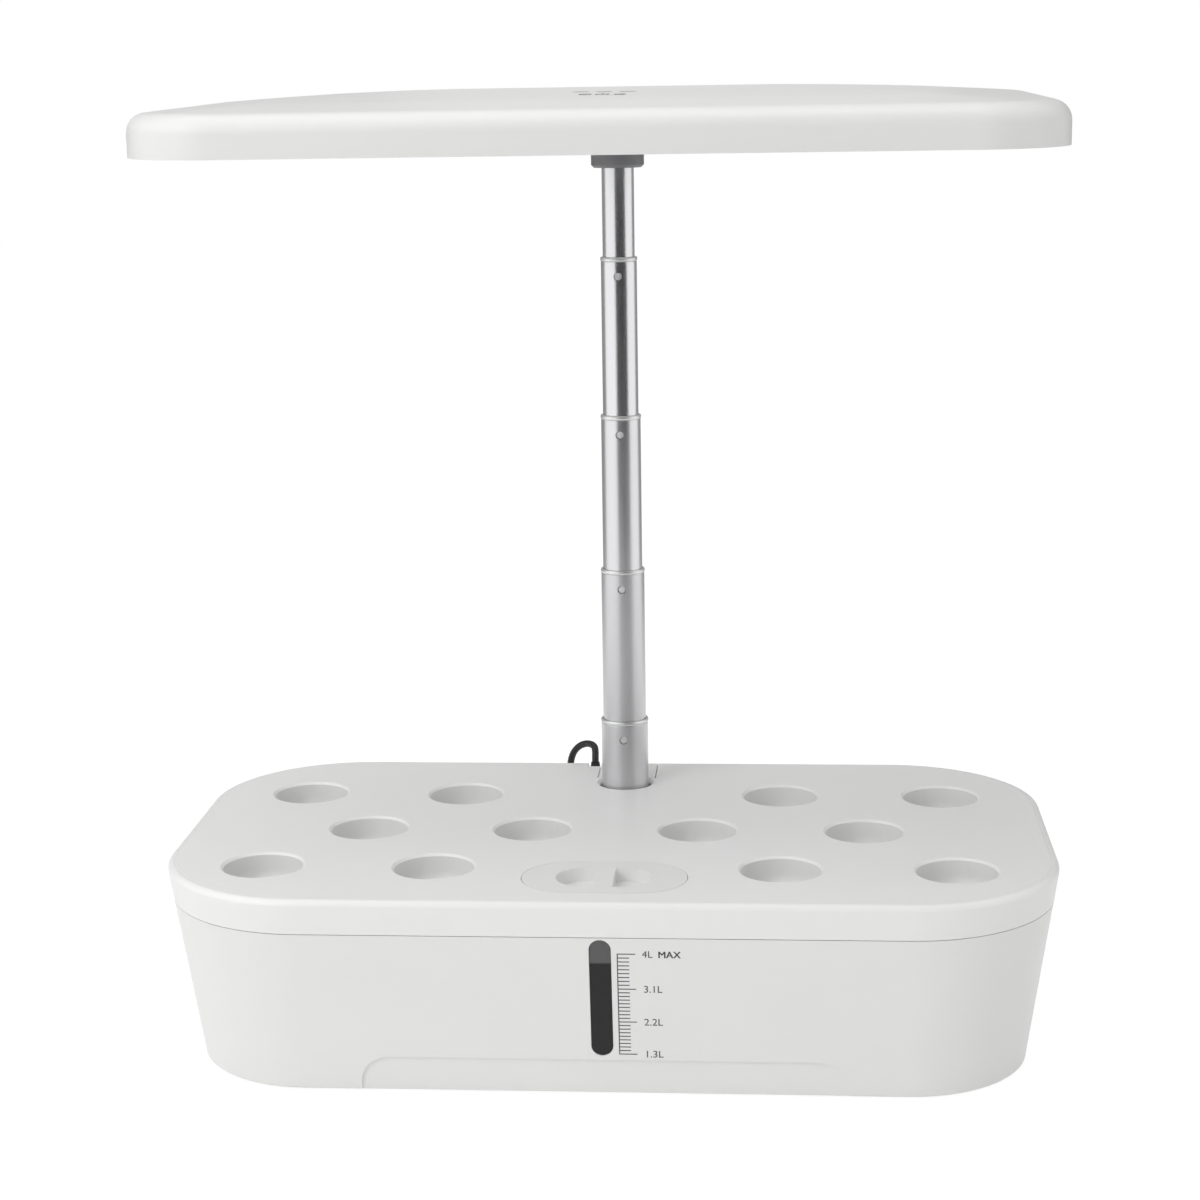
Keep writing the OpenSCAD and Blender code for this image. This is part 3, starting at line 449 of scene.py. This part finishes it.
card("left_white_card", -59, 1.1, 1.2)
card("dark_card", 17, 1.05, 0.06)
card("right_white_card", 87, 0.84, 1.15)
card("left_rear_grey_card", -133, 0.84, 0.33)
card("right_rear_grey_card", 141, 0.62, 0.33)

# --- Tank ----------------------------------------------------------------------------------------
# One deep injection-moulded tub in white ABS with leaning walls, a lip that carries the deck, a
# well and two bosses for the mast's foot, and a shallow toe recess in the front.

white_abs = moulded("white_abs_shell", "#f1f1ef", "#ececeb", 0.38, 0.55, 0.012)


def from_frame(name, node, material, body, angle=32):
    """A copy of a CAD node with its loose triangles joined and its curves shaded smooth. It stands
    for the node."""
    piece = bpy.data.objects.new(name, cad[node].data.copy())
    bpy.context.scene.collection.objects.link(piece)
    alone(piece)
    bpy.ops.mesh.customdata_custom_splitnormals_clear()
    edit()
    bpy.ops.mesh.remove_doubles(threshold=1e-5)
    done()
    finish(piece, material, body, angle)
    carry_out(piece, "WEIGHTED_NORMAL", mode="FACE_AREA", weight=100, keep_sharp=True)
    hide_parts(node)
    return piece


from_frame("tank_tub", "tank", white_abs, "base")
from_frame("mast_socket_moulding", "mast_socket", white_abs, "base")

# Thermoplastic rubber feet, matt grey and slightly dusty.
foot_rubber = moulded("grey_tpr_foot", "#5a5a5b", "#4f4f50", 0.75, 0.7, 0.05)
dressed(foot_rubber, "feet")

# --- Level window and scale ----------------------------------------------------------------------
# A smoked polycarbonate lens pressed in from inside over a rubber gasket. The scale beside it is
# pad-printed in dark grey ink on the front wall: a line, ticks every 0.1 litre and four figures.

# Painted light: above this height the lens is painted lighter, standing for the tank's inside lit
# through the deck's holes. Below it, painted shade darkens the lens.
painted_light_z, painted_light_blur = 60.4, 0.6  # where the lens goes from dark to light, and over how much
lens_material = bpy.data.materials.new("smoked_polycarbonate")
lens_material.use_nodes = True
shader = lens_material.node_tree.nodes["Principled BSDF"]
where = add(lens_material, "SeparateXYZ", inputs={
    0: add(lens_material, "TexCoord").outputs["Object"]})
painted_light_above = add(lens_material, "MapRange", {"interpolation_type": "SMOOTHSTEP"},
                  {0: where.outputs["Z"], 1: (painted_light_z - painted_light_blur) * mm,
                   2: (painted_light_z + painted_light_blur) * mm})
haze = add(lens_material, "TexNoise", inputs={"Scale": 60, "Detail": 2})
# The darker lower colour is the lens's own smoke together with painted shade of the tank's inside.
depth = add(lens_material, "Mix", {"data_type": "RGBA"},
            {0: haze.outputs[0], 6: linear("#121213"), 7: linear("#161617")})
# The lighter upper colour is painted light, not the lens's own colour.
smoke = add(lens_material, "Mix", {"data_type": "RGBA"},
            {0: painted_light_above.outputs[0], 6: depth.outputs[2], 7: linear("#5a5a5b")})
lens_material.node_tree.links.new(smoke.outputs[2], shader.inputs["Base Color"])
shader.inputs["Roughness"].default_value = 0.16
shader.inputs["IOR"].default_value = 1.58
shader.inputs["Specular IOR Level"].default_value = 0.28
from_frame("window_pane", "window_lens", lens_material, "base")

gasket_rubber = moulded("black_epdm_gasket", "#202021", "#262627", 0.7, 0.6, 0.03)
dressed(gasket_rubber, "window_gasket")

wall_lean = math.atan(0.15)
wall_foot = Vector((0, -92.13, 1.2))  # the foot of the front wall's outer face
wall_up = Vector((0, -math.sin(wall_lean), math.cos(wall_lean)))
wall_out = Vector((0, -math.cos(wall_lean), -math.sin(wall_lean)))
wall_frame = Matrix((Vector((1, 0, 0)), wall_up, wall_out)).transposed().to_4x4()

ink = moulded("grey_pad_print_ink", "#38383a", "#404041", 0.6, 0.3, 0.004)


def printed(name, flat, x, up, out=0.04):
    """Stands a flat mark, drawn in millimetres on X and Y, on the leaning front wall, or so far
    out from it."""
    alone(flat)
    bpy.ops.object.convert(target="MESH")
    flat.data.transform(Matrix.Scale(mm, 4))
    place = wall_foot + Vector((x, 0, 0)) + wall_up * up + wall_out * out
    flat.data.transform(Matrix.Translation(place * mm) @ wall_frame)
    flat.matrix_world = Matrix.Identity(4)
    flat.name = name
    flat.data.name = name
    finish(flat, ink, "base")


def joined(parts):
    """Joins pieces into the first of them."""
    alone(parts[0])
    for part in parts[1:]:
        part.select_set(True)
    bpy.ops.object.join()
    return parts[0]


scale_x, line_wide = 6.8, 0.4
litre_ups = (18.4, 33.3, 48.4, 64.3)  # how far up the wall each figure's tick is
litre_tick, short_tick, tick_high = 7.5, 4.9, 0.42
scale_marks = [(scale_x, litre_ups[0], line_wide, litre_ups[3] - litre_ups[0])]
for k in range(28):
    low, step = divmod(k, 9)
    up = litre_ups[low] + step / 9 * (litre_ups[min(low + 1, 3)] - litre_ups[low])
    scale_marks.append((scale_x, up, short_tick if step else litre_tick, tick_high))
ticks = []
for x, up, wide, high in scale_marks:
    bpy.ops.object.select_all(action="DESELECT")
    middle = up + (high / 2 if high > tick_high else 0)
    bpy.ops.mesh.primitive_plane_add(size=1, location=(x + wide / 2, middle, 0))
    bpy.context.object.scale = (wide, high, 1)
    ticks.append(started("tick"))
printed("level_scale", joined(ticks), 0, 0)


def lettered(name, words, x, up, size, out=0.04):
    """A line of figures as flat ink, size being the height of a capital in millimetres."""
    face = bpy.data.curves.new(name, "FONT")
    face.body = words
    face.size = size / 0.73  # a capital stands 0.73 of the font's size
    mark = bpy.data.objects.new(name, face)
    bpy.context.scene.collection.objects.link(mark)
    printed(name, mark, x, up, out)


lettered("figure_4_litre", "4L", 16.9, 62.8, 3.2)
for words, name, up in (("3.1L", "figure_3_1_litre", 46.9), ("2.2L", "figure_2_2_litre", 31.8),
                        ("1.3L", "figure_1_3_litre", 17.0)):
    lettered(name, words, 17.2, up, 3.3)

# The word for the full line is printed twice, a fifth of a millimetre apart, so that it reads bold.
lettered("figure_full", "MAX", 23.2, 62.7, 3.1)
lettered("figure_full_second_print", "MAX", 23.4, 62.7, 3.1, 0.05)

# The float rides in a two-rail guide of natural polypropylene behind the lens.
natural_pp = moulded("natural_polypropylene", "#dcdcd6", "#d2d2cc", 0.45, 0.6, 0.02)
float_foam = moulded("white_eva_foam", "#f0f0ec", "#e4e4df", 0.8, 0.9, 0.08)
dressed(natural_pp, "float_guide")
dressed(float_foam, "float_block")

# --- Planting deck -------------------------------------------------------------------------------
# A white ABS lid with twelve stepped holes for plant baskets. A fine line runs round its top just
# inside the rounded edge, and a second, fainter one within that; both are in the material alone.

corner_centre = (124, 40)  # of the deck's rounded corners, from its middle
# The deck's white is a lighter copy of the tank's white ABS: its extra lightness is painted light.
deck_abs_painted_light = moulded("white_abs_deck_painted_light", "#f6f6f5", "#f2f2f1", 0.4, 0.55, 0.012)
tree = deck_abs_painted_light.node_tree
shader = tree.nodes["Principled BSDF"]
old_bump = next(n for n in tree.nodes if n.type == "BUMP")
corner = add(deck_abs_painted_light, "VectorMath", {"operation": "ABSOLUTE"},
             {0: add(deck_abs_painted_light, "TexCoord").outputs["Object"]})
past = add(deck_abs_painted_light, "VectorMath", {"operation": "SUBTRACT"},
           {0: corner.outputs[0], 1: (corner_centre[0] * mm, corner_centre[1] * mm, 10)})
outside = add(deck_abs_painted_light, "VectorMath", {"operation": "MAXIMUM"},
              {0: past.outputs[0], 1: (0, 0, 0)})
reach = add(deck_abs_painted_light, "VectorMath", {"operation": "LENGTH"}, {0: outside.outputs[0]})
height = None
for radius, width, deep in ((61.6, 0.5, 0.25), (57.2, 0.7, 0.12)):
    ridge = add(deck_abs_painted_light, "Math", {"operation": "SUBTRACT"},
                {0: reach.outputs["Value"], 1: radius * mm})
    size = add(deck_abs_painted_light, "Math", {"operation": "ABSOLUTE"}, {0: ridge.outputs[0]})
    line = add(deck_abs_painted_light, "MapRange", {"interpolation_type": "SMOOTHSTEP"},
               {0: size.outputs[0], 1: 0, 2: width * mm, 3: -deep, 4: 0})
    height = line if height is None else add(deck_abs_painted_light, "Math", {"operation": "ADD"},
                                             {0: height.outputs[0], 1: line.outputs[0]})
grooves = add(deck_abs_painted_light, "Bump", inputs={"Height": height.outputs[0], "Strength": 1.0,
                                        "Distance": 0.6 * mm, "Normal": old_bump.outputs[0]})
tree.links.new(grooves.outputs[0], shader.inputs["Normal"])
from_frame("planting_deck", "deck", deck_abs_painted_light, "deck")
from_frame("fill_cover_moulding", "fill_cover", white_abs, "cover")

silicone = moulded("clear_silicone_seal", "#d6d6d4", "#cdcdcb", 0.55, 0.8, 0.03)
dressed(silicone, "fill_seal")

# --- Mast ----------------------------------------------------------------------------------------
# Five drawn steel tubes, each sliding in the one below. The lower ones are satin and the upper
# ones polished. All but the top one end in a rolled lip, with a snap button in a hole under it.

mast_y, foot_tube_d, tube_wall, tube_step = 69.6, 21.6, 0.6, 1.8
mast_low, mast_high, tube_overlap = 6.7, 394.5, 12.5
lip_tops = [118.5, 189.5, 260.5, 331.5]
button_drop, button_hole_r, inner_hole_r, drill_reach = 8.5, 1.9, 1.76, 12
edge, throat_deep, throat_play = 0.15, 2, 0.08
# The outside of an end, as steps out from the tube and down from its top.
rolled_lip = [(0, 2.1), (-0.12, 1.9), (0.1, 1.7), (0.22, 1.3), (0.24, 0.8), (0.14, 0.35),
              (-0.1, 0.08), (-0.35, 0)]
plain_end = [(0, edge), (-edge, 0)]


def drawn_steel(name, colour, roughness, streak):
    """Drawn steel tube: fine lines run along it from the die, so its gloss is streaked."""
    material = bpy.data.materials.new(name)
    material.use_nodes = True
    shader = material.node_tree.nodes["Principled BSDF"]
    where = add(material, "Mapping", inputs={
        0: add(material, "TexCoord").outputs["Object"], 3: (1, 1, 0.02)})
    lines = add(material, "TexNoise",
                inputs={"Vector": where.outputs[0], "Scale": 1600, "Detail": 3})
    gloss = add(material, "MapRange", inputs={0: lines.outputs[0], 1: 0.3, 2: 0.7,
                                              3: roughness - streak, 4: roughness + streak})
    bump = add(material, "Bump", inputs={"Height": lines.outputs[0], "Strength": 0.12,
                                         "Distance": 0.01 * mm})
    material.node_tree.links.new(gloss.outputs[0], shader.inputs["Roughness"])
    material.node_tree.links.new(bump.outputs[0], shader.inputs["Normal"])
    shader.inputs["Base Color"].default_value = linear(colour)
    shader.inputs["Metallic"].default_value = 1
    return material


satin_steel = drawn_steel("satin_drawn_steel", "#cfcfd1", 0.36, 0.05)
brushed_steel = drawn_steel("fine_satin_drawn_steel", "#d8d8da", 0.31, 0.03)
polished_steel = drawn_steel("polished_drawn_steel", "#dcdcde", 0.26, 0.02)
rolled_steel = drawn_steel("rolled_lip_steel", "#e2e2e2", 0.45, 0.05)

tube_finishes = [satin_steel, satin_steel, brushed_steel, polished_steel, polished_steel]
last_tube = len(tube_finishes) - 1
for k, steel in enumerate(tube_finishes):
    outer = (foot_tube_d - tube_step * k) / 2
    bore = outer - tube_wall
    low = mast_low if k == 0 else lip_tops[k - 1] - tube_overlap
    high = mast_high if k == last_tube else lip_tops[k]
    outside = plain_end if k == last_tube else rolled_lip
    profile = [(outer - edge, low), (outer, low + edge)]
    profile += [(outer + away, high - down) for away, down in outside]
    if k < last_tube:
        throat = outer - tube_step / 2 + throat_play
        profile += [(throat + 0.2, high), (throat, high - 0.2), (throat, high - throat_deep),
                    (bore, high - throat_deep)]
    else:
        profile += [(bore, high)]
    profile += [(bore, low), (outer - edge, low)]
    tube = turned(f"mast_stage_{k + 1}", profile, (0, mast_y, 0), 96)
    holes = [(lip_tops[k] - button_drop, button_hole_r)] if k < last_tube else []
    if k:
        holes.append((lip_tops[k - 1] - button_drop, inner_hole_r))
    for height, radius in holes:
        cutter = turned("drill", [(radius, -drill_reach), (radius, 0)], (0, mast_y, height), 40,
                        (90, 0, 0))
        cutter.data.transform(Matrix.Translation((0, -drill_reach * mm, 0)))
        carry_out(tube, "BOOLEAN", operation="DIFFERENCE", object=cutter, solver="EXACT")
        bpy.data.objects.remove(cutter)
    finish(tube, steel, "base" if k == 0 else f"stage_{k + 1}",
           30)
    if k < last_tube:
        tube.data.materials.append(rolled_steel)
        for face in tube.data.polygons:
            if face.center.z > (high - 1.85) * mm:
                face.material_index = 1
    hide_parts(f"mast_tube_{k + 1}")

# The snap buttons are stamped from stainless steel, with a softly domed and blasted head that stays
# light where the tube round it mirrors the dark.
blasted_steel = drawn_steel("blasted_button_steel", "#e6e6e7", 0.62, 0.04)
for k in range(2, 6):
    from_frame(f"snap_button_head_{k}", f"snap_button_{k}", blasted_steel, f"button_{k}")

spring_steel = drawn_steel("blue_tempered_spring_steel", "#8f9196", 0.3, 0.05)
black_acetal = moulded("black_acetal_bush", "#1d1d1e", "#232324", 0.35, 0.5, 0.01)
zinc = drawn_steel("zinc_plated_screw", "#c4c6c8", 0.28, 0.06)
dressed(spring_steel, "snap_spring_2", "snap_spring_3", "snap_spring_4", "snap_spring_5",
        "top_ring", "touch_pads")
for k in range(2, 6):
    from_frame(f"foot_bush_{k}", f"bush_{k}", black_acetal, f"stage_{k}")
dressed(zinc, "socket_screws", "rim_screws", "board_screws", "bracket_screws", "driver_screws",
        "touch_screws")
from_frame("cord_grommet", "cord_gland", gasket_rubber, "base")

# --- Pump ----------------------------------------------------------------------------------------
# A small submerged pump in black ABS stands on suction feet behind the right-hand holes. Its front
# cover is slotted, and a swivelling spout on top stirs the water.

pump_abs = moulded("black_abs_pump", "#1a1b1d", "#212224", 0.42, 0.7, 0.02)
grey_acetal = moulded("grey_acetal", "#77787a", "#6e6f71", 0.35, 0.5, 0.01)
from_frame("pump_case", "pump_body", pump_abs, "base")
from_frame("pump_strainer", "pump_cover", pump_abs, "base")
from_frame("pump_nozzle", "pump_spout", grey_acetal, "base")
from_frame("pump_suction_feet", "pump_feet", gasket_rubber, "base")
from_frame("pump_cable", "pump_lead", black_pvc, "base")
from_frame("pump_impeller", "rotor", grey_acetal, "rotor")
dressed(zinc, "rotor_shaft")

# --- Lamp ----------------------------------------------------------------------------------------
# A shallow shell of white ABS, domed on top with a rounded edge, closed below by a clear sheet over
# the LED board. Touch keys are printed on the front of its top.

# The lamp's white is a darker copy of the white ABS: its extra grey is painted shade.
lamp_abs_painted_shade = moulded("white_abs_lamp_painted_shade", "#ebebea", "#e7e7e6", 0.36, 0.55, 0.01)
lamp_shell = from_frame("lamp_shell", "lamp_housing", lamp_abs_painted_shade, "lamp")

# The touch keys are marked in grey ink: a short line over each of three small signs, made of
# rings and bars, that stand for mode, power and timer.
key_ink = moulded("grey_key_ink", "#5a5a5b", "#626263", 0.55, 0.3, 0.004)


key_start = 0.42  # metres above the table, clear of the lamp


def key_mark(name, parts):
    """Lays flat bars and rings, given as (x, y, width, depth) or (x, y, radius), on the shell. They
    start above the lamp and are dropped on it."""
    made = []
    for part in parts:
        bpy.ops.object.select_all(action="DESELECT")
        place = (part[0] * mm, part[1] * mm, key_start)
        if len(part) == 4:
            bpy.ops.mesh.primitive_grid_add(x_subdivisions=8, y_subdivisions=2, size=mm,
                                            location=place)
            bpy.context.object.scale = (part[2], part[3], 1)
            made.append(started(name))
        else:
            bpy.ops.mesh.primitive_circle_add(vertices=32, radius=part[2] * mm,
                                              fill_type="NGON", location=place)
            made.append(started(name))
            edit()
            bpy.ops.mesh.inset(thickness=0.8 * mm)
            bpy.ops.mesh.delete(type="FACE")
            done()
    mark = joined(made)
    mark.name = mark.data.name = name
    carry_out(mark, "SHRINKWRAP", wrap_method="PROJECT", use_project_z=True,
              use_positive_direction=False, use_negative_direction=True, target=lamp_shell,
              offset=0.05 * mm)
    finish(mark, key_ink, "lamp")


key_mark("key_lines", [(-7, -41, 6.6, 1.4), (2.4, -41.6, 6.2, 1.4), (11.8, -42.2, 6.4, 1.4)])
key_mark("key_mode", [(-4.2, -54, 2.6), (-4.2, -54, 1.6, 0.7)])
key_mark("key_power", [(2.6, -54.6, 2.9), (2.6, -52.6, 0.8, 3.4)])
key_mark("key_timer", [(9.6, -55.4, 2.4), (10.2, -55.4, 1.8, 0.7)])

collar_grey = moulded("grey_nylon_collar", "#7d7d7f", "#757577", 0.4, 0.6, 0.015)
from_frame("mast_collar", "collar", collar_grey, "lamp")
from_frame("mast_collar_nut", "collar_nut", collar_grey, "lamp")

# Clear acrylic sheet, extruded: colourless, glossy, with a faint haze.
acrylic = bpy.data.materials.new("clear_acrylic_sheet")
acrylic.use_nodes = True
shader = acrylic.node_tree.nodes["Principled BSDF"]
ripple = add(acrylic, "TexNoise", inputs={
    "Vector": add(acrylic, "TexCoord").outputs["Object"], "Scale": 30, "Detail": 2})
clear = add(acrylic, "MapRange", inputs={0: ripple.outputs[0], 3: 0.04, 4: 0.1})
acrylic.node_tree.links.new(clear.outputs[0], shader.inputs["Roughness"])
shader.inputs["Base Color"].default_value = linear("#f7f9fa")
shader.inputs["Alpha"].default_value = 0.22
shader.inputs["IOR"].default_value = 1.49
from_frame("lamp_window", "lamp_glass", acrylic, "lamp")

board_white = moulded("white_solder_mask", "#eceeec", "#e6e8e6", 0.3, 0.4, 0.005)
board_green = moulded("green_solder_mask", "#1f5a35", "#1b5130", 0.35, 0.6, 0.02)
component_black = moulded("black_epoxy_parts", "#1c1c1d", "#252526", 0.45, 0.6, 0.02)
phosphor = moulded("warm_white_phosphor", "#f0dc8c", "#ead480", 0.3, 0.5, 0.01)
red_epoxy = moulded("red_led_epoxy", "#c8423a", "#bd3a33", 0.25, 0.5, 0.01)
plated_bracket = drawn_steel("zinc_plated_bracket", "#c2c4c6", 0.35, 0.08)
dressed(board_white, "led_board")
dressed(phosphor, "white_leds")
dressed(red_epoxy, "red_leds")
dressed(plated_bracket, "mast_bracket")
dressed(board_green, "driver_board", "touch_board")
dressed(component_black, "driver_parts")
